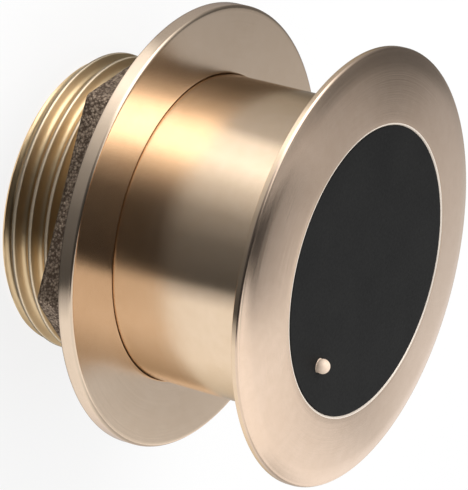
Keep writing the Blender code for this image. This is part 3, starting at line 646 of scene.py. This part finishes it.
def pebbles(tree, size):
    """Rounded cells of this many millimetres."""
    return add_node(tree, "ShaderNodeTexVoronoi", None, Vector=object_place(tree),
                    Scale=1 / (size * MM)).outputs[0]


def bump(tree, shader, height, depth):
    """Join a bump of this many millimetres to the shader."""
    made = add_node(tree, "ShaderNodeBump", None, Strength=1.0, Distance=depth * MM,
                    Height=height)
    tree.links.new(made.outputs[0], shader.inputs["Normal"])


print("a grain of one millimetre needs a noise scale of", round(1 / MM))

# %% [markdown]
# ## The rings of the lathe
#
# A lathe leaves fine rings round the axis, on a face as circles and on a cylinder as
# bands. The noise is therefore read in lathe coordinates: the radius, the height, and only
# a little of the angle, so that a ring changes slowly on its way round. The angle enters as
# its sine and cosine, which leaves no seam.

# %% Noise in rings
def lathe_noise(tree, across, around):
    """Noise in rings: cells of this many millimetres across the turning marks."""
    parts = object_parts(tree)
    flat, radius = off_axis(tree, parts)
    unit = add_node(tree, "ShaderNodeVectorMath", {"operation": "NORMALIZE"}, i0=flat).outputs[0]
    turn = add_node(tree, "ShaderNodeSeparateXYZ", None, i0=unit).outputs
    cells = 1 / (across * MM)
    rings = add_node(tree, "ShaderNodeCombineXYZ", None,
                     i0=math_node(tree, "MULTIPLY", radius, cells),
                     i1=math_node(tree, "MULTIPLY", parts[2], cells),
                     i2=math_node(tree, "MULTIPLY", turn[0], around)).outputs[0]
    return add_node(tree, "ShaderNodeTexNoise", {"noise_dimensions": "4D"}, Vector=rings,
                    W=math_node(tree, "MULTIPLY", turn[1], around), Scale=1.0,
                    Detail=2.0, Roughness=0.6).outputs[0]


RING_WIDTH, RING_CHANGE = 0.22, 1.6
print("turning marks every", RING_WIDTH, "mm")

# %% [markdown]
# ## Turned bronze
#
# The housing and the machined parts of the nut are bare bronze. Two close tones in soft
# clouds keep the metal from looking like plastic. The rings make it a little rougher and
# smoother by turns, and they spread a highlight across themselves, which is what the
# anisotropic setting does. The metal keeps its warm tone where it is seen at a flat angle,
# and the specular tint does that.
#
# The head's face is paler than the shank, and white at a flat angle. The thread is duller
# than the rest, and its more golden tones are painted reflection of the warm bronze that its
# grooves mirror. Both changes are blended in by height, so that no border shows on the
# stem. All these colours were tuned in steps against the photograph.

# %% Turned bronze
TURNED_ROUGHNESS, TURNED_DEPTH = (0.18, 0.22), 0.008
FINE_CLOUD, BROAD_CLOUD, FINE_SHARE = 2.2, 14, 0.45
# The thread's tones are painted reflection: more golden than the bronze, for the warm bronze in
# its grooves.
THREAD_REFLECTION_TONES = (0.885, 0.67, 0.41), (0.83, 0.615, 0.36)
THREAD_DULLNESS, THREAD_FADE = 0.14, (13 * MM, 15 * MM)


def soft_patches(tree):
    """Fine and broad clouds in one, spread to run from nought to one."""
    fine = math_node(tree, "MULTIPLY", cloud(tree, FINE_CLOUD, 4.0, 0.65), FINE_SHARE)
    broad = math_node(tree, "MULTIPLY", cloud(tree, BROAD_CLOUD), 1 - FINE_SHARE)
    return spread(tree, math_node(tree, "ADD", fine, broad), 0, 1, 0.36, 0.64)


def turned_bronze(name, light, dark, thread_reflection_tones=None, flat_tint=(1.0, 0.88, 0.72)):
    """Lathe bronze: two tones, two painted reflection tones on the thread, a flat-angle tint."""
    made, shader = new_finish(name, Metallic=1.0, Anisotropic=0.75, Anisotropic_Rotation=0.25,
                              Specular_Tint=(*flat_tint, 1.0))
    tree = made.node_tree
    share = soft_patches(tree)
    on_thread = spread(tree, object_parts(tree)[2], 1, 0, *THREAD_FADE)
    color = two_tone(tree, share, light, dark)
    if thread_reflection_tones:
        color = two_tone(tree, on_thread, color, two_tone(tree, share, *thread_reflection_tones))
    rings = lathe_noise(tree, RING_WIDTH, RING_CHANGE)
    dullness = math_node(tree, "MULTIPLY", on_thread, THREAD_DULLNESS)
    rough = math_node(tree, "ADD", spread(tree, rings, *TURNED_ROUGHNESS), dullness)
    color_and_roughness(tree, shader, color, rough)
    around = add_node(tree, "ShaderNodeTangent", {"direction_type": "RADIAL", "axis": "Z"})
    tree.links.new(around.outputs[0], shader.inputs["Tangent"])
    bump(tree, shader, rings, TURNED_DEPTH)
    return made


machined = turned_bronze("bronze_machined", (0.87, 0.68, 0.50), (0.83, 0.635, 0.45),
                         THREAD_REFLECTION_TONES)
facing = turned_bronze("bronze_facing", (0.905, 0.70, 0.545), (0.85, 0.645, 0.49),
                       flat_tint=(1.0, 1.0, 1.0))
golden = turned_bronze("bronze_nut_turned", (0.85, 0.684, 0.53), (0.81, 0.642, 0.485),
                       flat_tint=(1.0, 0.93, 0.9))
print("turned bronze:", len(machined.node_tree.nodes), "nodes")

# %% [markdown]
# ## Cast bronze
#
# The hexagon was never machined. Its skin is dark from the mould, rough, and set with
# small glints where a grain faces the light. Voronoi cells make the pebbles, finer noise
# breaks them up, and the tops of the pebbles are brighter and smoother than the pits.

# %% Cast bronze
PEBBLE, GRAIN, PATCH, CAST_DEPTH = 0.55, 0.3, 2.6, 0.2
PIT_COLOR, PEAK_COLOR = (0.155, 0.109, 0.079), (0.78, 0.61, 0.46)
PIT_ROUGHNESS, PEAK_ROUGHNESS = 0.62, 0.34


def cast_bronze():
    """A dark, pebbled metal skin."""
    made, shader = new_finish("bronze_cast", Metallic=0.85)
    tree = made.node_tree
    raised = math_node(tree, "SUBTRACT", cloud(tree, GRAIN, 3.0, 0.6),
                       math_node(tree, "MULTIPLY", pebbles(tree, PEBBLE), 0.7))
    patch = math_node(tree, "MULTIPLY", cloud(tree, PATCH, 2.0), 0.5)
    glint = spread(tree, math_node(tree, "ADD", raised, patch), 0, 1, 0.25, 0.85)
    color_and_roughness(tree, shader, two_tone(tree, glint, PIT_COLOR, PEAK_COLOR),
                        spread(tree, glint, PIT_ROUGHNESS, PEAK_ROUGHNESS, 0, 1))
    bump(tree, shader, raised, CAST_DEPTH)
    return made


cast = cast_bronze()
print("cast bronze:", len(cast.node_tree.nodes), "nodes")

# %% [markdown]
# ## Satin bronze
#
# A few small surfaces are brighter than the turned ones and show no rings: the stud's
# head, the land round the window, and the thread's crests. On the land and the crests the
# paler, partly matt finish is painted highlight: the bright line round the window and along
# each crest. A fine grain of two tones is enough for them.

# %% Satin bronze
SATIN_GRAIN, SATIN_DEPTH = 0.25, 0.004


def satin_bronze(name, light, dark, rough, metallic):
    """A small bright surface without turning marks."""
    made, shader = new_finish(name, Metallic=metallic)
    tree = made.node_tree
    grain = cloud(tree, SATIN_GRAIN, 3.0, 0.6)
    color_and_roughness(tree, shader, two_tone(tree, spread(tree, grain, 0, 1), light, dark),
                        spread(tree, grain, rough, rough + 0.1))
    bump(tree, shader, grain, SATIN_DEPTH)
    return made


on_stud = satin_bronze("bronze_stud", (0.99, 0.8, 0.64), (0.96, 0.75, 0.58), 0.5, 0.1)
# The land's paler, partly matt bronze is painted highlight: the bright line round the window.
land_highlight = satin_bronze("bronze_land_highlight", (0.98, 0.87, 0.76), (0.95, 0.83, 0.71), 0.4, 0.4)
# The crests' paler, partly matt bronze is painted highlight along each crest line.
crest_highlight = satin_bronze("bronze_crest_highlight", (0.97, 0.82, 0.62), (0.93, 0.76, 0.54), 0.36, 0.84)
print("satin bronze:", on_stud.name, land_highlight.name, crest_highlight.name)

# %% [markdown]
# ## Where each bronze goes
#
# A piece can carry several finishes, and each of its faces names one by number. The
# crests, the land and the face of the housing and the hexagon of the nut are picked out by
# their height and their distance from the axis.

# %% Put the bronzes on
# The crest and land slots hold the finishes with painted highlight.
TURNED, CREST_HIGHLIGHT_SLOT, LAND_HIGHLIGHT_SLOT, FACE_SLOT = range(4)
LAND_WIDTH = LIP_CHAMFER + LIP_LAND
CAST_INNER, CAST_OUTER, CAST_FROM = 30 * MM, 40.2 * MM, 0.25 * MM


def housing_slot(radius, height):
    """The housing's finish at this distance from the axis and this height."""
    if STEM_CHAMFER < height < THREAD_TOP and THREAD_RADIUS - NEAR < radius < SHANK_RADIUS - NEAR:
        return CREST_HIGHLIGHT_SLOT
    if height > FACE_HEIGHT - LIP_CHAMFER and 0 < radius - RECESS_RADIUS < LAND_WIDTH:
        return LAND_HIGHLIGHT_SLOT
    if height > RIM_TOP and radius > RECESS_RADIUS + LAND_WIDTH:
        return FACE_SLOT
    return TURNED


def nut_slot(radius, height):
    """One where the nut keeps its cast skin, and nought where it is turned."""
    cast_top = NUT_FACE - FLANGE_THICKNESS + WELD
    return int(NUT_REAR + CAST_FROM < height < cast_top and CAST_INNER < radius < CAST_OUTER)


def set_finishes(piece, finishes, choose):
    """Give a piece its finishes, and each of its faces the number of one."""
    for finish in finishes:
        piece.data.materials.append(finish)
    for face in piece.data.polygons:
        x, y, height = face.center
        face.material_index = choose(math.hypot(x, y), height)
    numbers = [face.material_index for face in piece.data.polygons]
    print(piece.name, "faces of each finish:", [numbers.count(n) for n in range(len(finishes))])


set_finishes(housing, (machined, crest_highlight, land_highlight, facing), housing_slot)
set_finishes(nut, (golden, cast), nut_slot)
stud.data.materials.append(on_stud)

# %% [markdown]
# ## Black urethane
#
# The window is cast against a smooth plate and left matt. It is nearly black, with a very
# fine grain, and a weak sheen because the rubber's surface is slightly dulled.

# %% Black urethane
RUBBER_GRAIN, RUBBER_CLOUD, RUBBER_DEPTH = 0.5, 9, 0.012


def urethane():
    """A matt black rubber."""
    made, shader = new_finish("black_urethane", Specular_IOR_Level=0.12)
    tree = made.node_tree
    grain = cloud(tree, RUBBER_GRAIN, 5.0, 0.65)
    shade = spread(tree, cloud(tree, RUBBER_CLOUD), 0, 1)
    color = two_tone(tree, shade, (0.011, 0.011, 0.011), (0.014, 0.014, 0.0137))
    color_and_roughness(tree, shader, color, spread(tree, grain, 0.52, 0.66))
    bump(tree, shader, grain, RUBBER_DEPTH)
    return made


window.data.materials.append(urethane())
print("urethane:", len(window.data.materials[0].node_tree.nodes), "nodes")

# %% [markdown]
# ## The pieces inside
#
# The CAD pieces inside the housing keep their shapes. Each gets a finish with the grain of
# its own material: cork granules, fired ceramic, woven glass under green lacquer, and so
# on. One helper makes them from two colours, a grain size and a depth, and only the copper
# winding has a helper of its own.

# %% One helper for a grained finish
def grained(name, first, second, size, depth, rough, metallic=0.0, cells=False):
    """A finish of two colours mixed in grains of a given size and depth in millimetres."""
    made, shader = new_finish(name, Metallic=metallic)
    tree = made.node_tree
    grain = pebbles(tree, size) if cells else cloud(tree, size, 4.0, 0.6)
    color_and_roughness(tree, shader, two_tone(tree, spread(tree, grain, 0, 1), first, second),
                        spread(tree, grain, rough - 0.06, rough + 0.06))
    bump(tree, shader, grain, depth)
    return made


def dress_node(name, finish):
    """Put one finish on a CAD node in place of its plain colour."""
    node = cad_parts[name]
    node.data.materials.clear()
    node.data.materials.append(finish)


replaced = (housing, nut, window, stud)
print("nodes that keep their shapes:", len(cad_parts) - len(replaced))

# %% [markdown]
# ## One recipe for each material inside
#
# Each line of the table is one material. It names the pieces made of it, two colours, the
# size and the depth of the grain in millimetres, and the roughness. A metal adds how
# metallic it is, and cork adds that its grain is made of cells.

# %% Finishes for the pieces inside
SILVERED = (0.80, 0.77, 0.70), (0.72, 0.68, 0.60)
INSIDE = {
    "piezo_ceramic": (["piezo_element"], (0.58, 0.53, 0.42), (0.50, 0.45, 0.35), 0.4, 0.01, 0.6),
    "cork": (["backing_pad", "isolation_cup"], (0.50, 0.32, 0.17), (0.30, 0.17, 0.08),
             0.9, 0.12, 0.88, 0.0, True),
    "silvered_brass": (["front_contact_strip", "rear_contact_pin"], *SILVERED,
                       0.6, 0.006, 0.3, 1.0),
    "lead_red": (["element_lead_front"], (0.46, 0.03, 0.03), (0.40, 0.02, 0.02),
                 2.0, 0.004, 0.45),
    "lead_black": (["element_lead_rear"], (0.03, 0.03, 0.03), (0.02, 0.02, 0.02),
                   2.0, 0.004, 0.45),
    "lead_white": (["thermistor_lead_a", "thermistor_lead_b"], (0.76, 0.75, 0.72),
                   (0.68, 0.67, 0.63), 2.0, 0.004, 0.45),
    "bead_epoxy": (["thermistor_bead"], (0.11, 0.05, 0.02), (0.07, 0.03, 0.012),
                   0.8, 0.01, 0.35),
    "board_green": (["circuit_board"], (0.03, 0.20, 0.08), (0.02, 0.15, 0.06), 0.6, 0.01, 0.4),
    "chip_black": (["id_chip"], (0.022, 0.022, 0.022), (0.015, 0.015, 0.015), 0.2, 0.01, 0.55),
    "ferrite": (["transformer_core"], (0.075, 0.075, 0.08), (0.05, 0.05, 0.055),
                0.3, 0.02, 0.6),
    "terminal": (["terminal_front", "terminal_rear", "terminal_sensor_a", "terminal_sensor_b"],
                 *SILVERED, 0.5, 0.01, 0.3, 1.0),
    "potting_epoxy": (["potting_plug"], (0.040, 0.040, 0.048), (0.030, 0.030, 0.036),
                      3.0, 0.03, 0.4),
    "gland_nylon": (["gland_body", "gland_nut", "gland_washer"], (0.050, 0.050, 0.050),
                    (0.038, 0.038, 0.038), 0.35, 0.015, 0.5),
    "grommet_rubber": (["gland_grommet"], (0.030, 0.030, 0.030), (0.022, 0.022, 0.022),
                       0.3, 0.02, 0.75),
}
for label, (members, *recipe) in INSIDE.items():
    finish = grained(label, *recipe)
    for member in members:
        dress_node(member, finish)
print("finishes inside:", len(INSIDE))

# %% [markdown]
# ## Copper winding
#
# The transformer's winding is one CAD piece. A wave round the axis shows the single turns
# of lacquered wire in the bump, and the colour is painted darker where the turns meet:
# painted shade in the creases between them. The last lines look for nodes that still wear
# the CAD's plain colour, whose materials have only a few nodes.

# %% Copper winding
# The wire is painted darker where the wave is low: painted shade between the turns.
WIRE_TURNS, WIRE_DEPTH = 60.0, 0.1
PLAIN_NODES = 3


def winding():
    """Turns of enamelled wire round a ring core, with painted shade between the turns."""
    made, shader = new_finish("enamel_copper", Metallic=1.0, Roughness=0.34)
    tree = made.node_tree
    parts = object_parts(tree)
    angle = math_node(tree, "ARCTAN2", parts[1], parts[0])
    turns = math_node(tree, "SINE", math_node(tree, "MULTIPLY", angle, WIRE_TURNS))
    color = two_tone(tree, spread(tree, turns, 0, 1, -1, 0.2), (0.30, 0.09, 0.03),
                     (0.62, 0.24, 0.10))
    tree.links.new(color, shader.inputs["Base Color"])
    bump(tree, shader, turns, WIRE_DEPTH)
    return made


dress_node("transformer_winding", winding())
undressed = [name for name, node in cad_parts.items()
             if not any(slot and slot.node_tree and len(slot.node_tree.nodes) > PLAIN_NODES
                        for slot in node.data.materials)]
print("nodes with the CAD's own colour:", undressed)

# %% [markdown]
# ## Floor
#
# The floor is plain white and keeps a soft shadow. Where a ray sees it directly or in a
# reflection, part of it glows, so that it comes out as white as the background.

# %% Floor
FLOOR_RADIUS, FLOOR_GLOW = 6.0, 0.82


def seen_share(tree):
    """One for rays from the camera, a reflection or a pane, and nought for the rest."""
    path = add_node(tree, "ShaderNodeLightPath").outputs
    mirrored = math_node(tree, "MAXIMUM", path["Is Glossy Ray"], path["Is Transmission Ray"])
    return math_node(tree, "MAXIMUM", path["Is Camera Ray"], mirrored)


def floor_finish():
    """White paper, of which a share glows where it is seen."""
    finish, shader = new_finish("floor_paper", Base_Color=(0.94, 0.94, 0.94, 1.0), Roughness=0.9)
    tree = finish.node_tree
    share = math_node(tree, "MULTIPLY", seen_share(tree), FLOOR_GLOW)
    white = add_node(tree, "ShaderNodeEmission", None, Color=(1.0, 1.0, 1.0, 1.0),
                     Strength=1.0).outputs[0]
    mix = add_node(tree, "ShaderNodeMixShader", None, i0=share, i1=shader.outputs[0], i2=white)
    tree.links.new(mix.outputs[0], tree.nodes["Material Output"].inputs[0])
    return finish


def make_floor():
    """A wide pale floor."""
    mesh = bmesh.new()
    bmesh.ops.create_circle(mesh, cap_ends=True, segments=64, radius=FLOOR_RADIUS)
    made = to_object(mesh, "floor")
    made.data.materials.append(floor_finish())
    made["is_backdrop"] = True
    return made


make_floor()
print("floor radius", FLOOR_RADIUS, "m, share of plain white:", FLOOR_GLOW)

# %% [markdown]
# ## The tent of tones
#
# Polished metal shows what stands round it, so the studio is part of the look. The broad
# bands on the bronze tell how such a studio was lit: a bright panel on one side, darkness
# beside the lens, and a soft wall on the other side. A paper tent round the object carries
# these tones in five rings, from the floor up to the roof. Each list gives compass angles
# in degrees and how bright the paper is there; the tones between are blended.
#
# The numbers were fitted. Reflections were traced from the bronze to the paper and held
# against the brightness in the photograph, and the stops were thinned and rounded.
# A picture of a studio could do the same work, but short lists are easier to change.

# %% Tones of the five rings
FLOOR_TONES = [(0, 0.5), (73, 0.18), (91, 0.36), (135, 0.52), (144, 1.2), (161, 1.5), (178, 0.8),
               (195, 0.33), (213, 0.14), (240, 0.07), (244, 0.42), (254, 0.97), (299, 0.97),
               (350, 0.5)]
LOW_TONES = [(0, 1.1), (20, 0.98), (42, 0.45), (48, 0.2), (78, 0.12), (98, 0.27), (117, 0.85),
             (132, 2.6), (157, 2.6), (166, 1.5), (177, 0.5), (195, 0.1), (247, 0.02), (254, 0.85),
             (300, 0.9), (340, 0.5), (350, 0.62)]
WALL_TONES = [(0, 1.1), (8, 0.84), (11, 0.46), (36, 0.52), (45, 0.38), (49, 0.1), (78, 0.11),
              (98, 0.27), (117, 0.85), (132, 2.6), (140, 3.1), (157, 3.1), (166, 1.5), (177, 0.5),
              (186, 0.22), (195, 0.08), (247, 0.01), (254, 0.85), (290, 0.9), (309, 0.64),
              (349, 0.38)]
HIGH_TONES = [(0, 1.1), (9, 0.92), (14, 0.8), (24, 0.95), (29, 0.86), (36, 0.38), (45, 0.5),
              (50, 0.3), (54, 0.1), (90, 0.3), (110, 0.8), (140, 2.4), (185, 0.2), (200, 0.03),
              (246, 0.02), (254, 0.8), (330, 1.1)]
ROOF_TONES = [(0, 1.1), (7, 0.88), (11, 0.3), (15, 0.03), (39, 0.0), (43, 0.4), (47, 0.7),
              (54, 0.3), (90, 0.3), (140, 1.6), (185, 0.2), (200, 0.04), (246, 0.02), (254, 0.8),
              (330, 1.1)]
print("stops in each ring:", [len(tones) for tones in
                               (FLOOR_TONES, LOW_TONES, WALL_TONES, HIGH_TONES, ROOF_TONES)])

# %% [markdown]
# ## The tent's paper
#
# A colour ramp holds each list and is read by the compass angle. Ramps keep colours of at
# most one, so the tones are divided by the brightest and the glow multiplies them again.
# Each further ring is mixed in between two heights, in metres, and the paper is shaded
# close to the stem, where the object itself would keep the light away.

# %% The tent's paper
BRIGHTEST, CLOSE_SHADE, SHADE_REACH = 3.2, 0.07, (0.04, 0.066)
RINGS = [(LOW_TONES, 0.002, 0.03), (WALL_TONES, 0.06, 0.13), (HIGH_TONES, 0.168, 0.205),
         (ROOF_TONES, 0.254, 0.264)]


def paper_tones(tree, turn, tones):
    """A grey ramp once round the compass that ends as it starts."""
    ramp = add_node(tree, "ShaderNodeValToRGB", None, i0=turn)
    stops = ramp.color_ramp.elements
    stops.remove(stops[-1])
    for number, (degrees, tone) in enumerate(tones + [(360, tones[0][1])]):
        stop = stops[0] if number == 0 else stops.new(degrees / 360)
        stop.position = degrees / 360
        stop.color = (*[tone / BRIGHTEST] * 3, 1.0)
    return ramp.outputs[0]


def tent_finish():
    """Paper that glows in five rings of tones and is shaded close round the stem."""
    finish = bpy.data.materials.new("tent_paper")
    finish.use_nodes = True
    tree = finish.node_tree
    tree.nodes.remove(tree.nodes["Principled BSDF"])
    parts = object_parts(tree)
    angle = math_node(tree, "DIVIDE", math_node(tree, "ARCTAN2", parts[1], parts[0]), 2 * math.pi)
    turn = math_node(tree, "FRACT", math_node(tree, "ADD", angle, 1.0))
    tone = paper_tones(tree, turn, FLOOR_TONES)
    for tones, low, high in RINGS:
        share = spread(tree, parts[2], 0, 1, low, high)
        tone = two_tone(tree, share, tone, paper_tones(tree, turn, tones))
    radius = off_axis(tree, parts)[1]
    shade = spread(tree, radius, CLOSE_SHADE * BRIGHTEST, BRIGHTEST, *SHADE_REACH)
    glow = add_node(tree, "ShaderNodeEmission", None, Color=tone, Strength=shade)
    tree.links.new(glow.outputs[0], tree.nodes["Material Output"].inputs[0])
    return finish


tent_paper = tent_finish()
print("tent paper:", len(tent_paper.node_tree.nodes), "nodes")

# %% [markdown]
# ## The tent's shape
#
# The tent is a closed bowl, turned like the pieces themselves. Its floor starts close round
# the stem's end, and its roof is rounded into the wall, so that no corner shows in a
# reflection. Only reflections see it: the camera looks through it, and the lamp's light
# passes.

# %% The tent's shape
TENT_RADIUS, TENT_TOP, TENT_ROUND = 0.20, 0.30, 0.12
TENT_HOLE, TENT_FLOOR = 0.0266, 0.0004


def make_tent():
    """A closed bowl over the object, spun from the floor up; only reflections see it."""
    mesh = bmesh.new()
    points = draw_line(mesh, [(TENT_HOLE, TENT_FLOOR), (TENT_RADIUS, TENT_FLOOR),
                              (TENT_RADIUS, TENT_TOP), (0.0, TENT_TOP)])
    round_corner(mesh, points[2], TENT_ROUND, 10)
    spin_line(mesh, 96)
    bmesh.ops.remove_doubles(mesh, verts=mesh.verts, dist=WELD / 2)
    made = to_object(mesh, "tent")
    made.visible_camera = made.visible_diffuse = made.visible_shadow = False
    made.visible_transmission = made.visible_volume_scatter = False
    made.data.materials.append(tent_paper)
    made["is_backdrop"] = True
    return made


tent = make_tent()
print("tent:", len(tent.data.polygons), "faces,", 2 * TENT_RADIUS, "m across")

# %% [markdown]
# ## World and lamp
#
# The world is white all round. One large soft lamp stands behind the object's right side
# and gives the shadow on the floor its direction.

# %% World and lamp
WORLD_LIGHT, LAMP_PLACE, LAMP_AIM = 0.75, (-0.45, 0.75, 0.9), Vector((0, 0, 0.03))
LAMP_SIZE, LAMP_WATTS = 0.8, 9.0


def make_world():
    """A white world: at full strength where it is seen, a little less as light."""
    world = bpy.data.worlds.new("studio")
    bpy.context.scene.world = world
    world.use_nodes = True
    tree = world.node_tree
    level = add_node(tree, "ShaderNodeMapRange", None, i0=seen_share(tree), i3=WORLD_LIGHT,
                     i4=1.0).outputs[0]
    back = tree.nodes["Background"]
    back.inputs[0].default_value = (1.0, 1.0, 1.0, 1.0)
    tree.links.new(level, back.inputs[1])


def make_lamp(name, place, size, watts):
    """A soft square lamp that points at the object and casts the soft shadow."""
    data = bpy.data.lights.new(name, "AREA")
    data.size = size
    data.energy = watts
    made = bpy.data.objects.new(name, data)
    bpy.context.scene.collection.objects.link(made)
    made.location = place
    made.rotation_mode = "QUATERNION"
    made.rotation_quaternion = (Vector(place) - LAMP_AIM).to_track_quat("Z", "Y")
    made.visible_glossy = made.visible_camera = False
    return made


bpy.context.scene.view_settings.view_transform = "Standard"
make_world()
lamp = make_lamp("softbox", LAMP_PLACE, LAMP_SIZE, LAMP_WATTS)
print("lamp at", [round(v, 2) for v in lamp.location])

# %% [markdown]
# ## The last check
#
# The finished model is held against the CAD model: the largest difference between the
# corners of the two boxes is printed. The finished model may not be larger than the CAD
# model.

# %% Compare the sizes and finish
final_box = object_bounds()
growth = max(abs(a - b) for ours, theirs in zip(final_box, cad_box)
             for a, b in zip(ours, theirs))
print("grows by at most", round(growth / MM, 3), "mm")
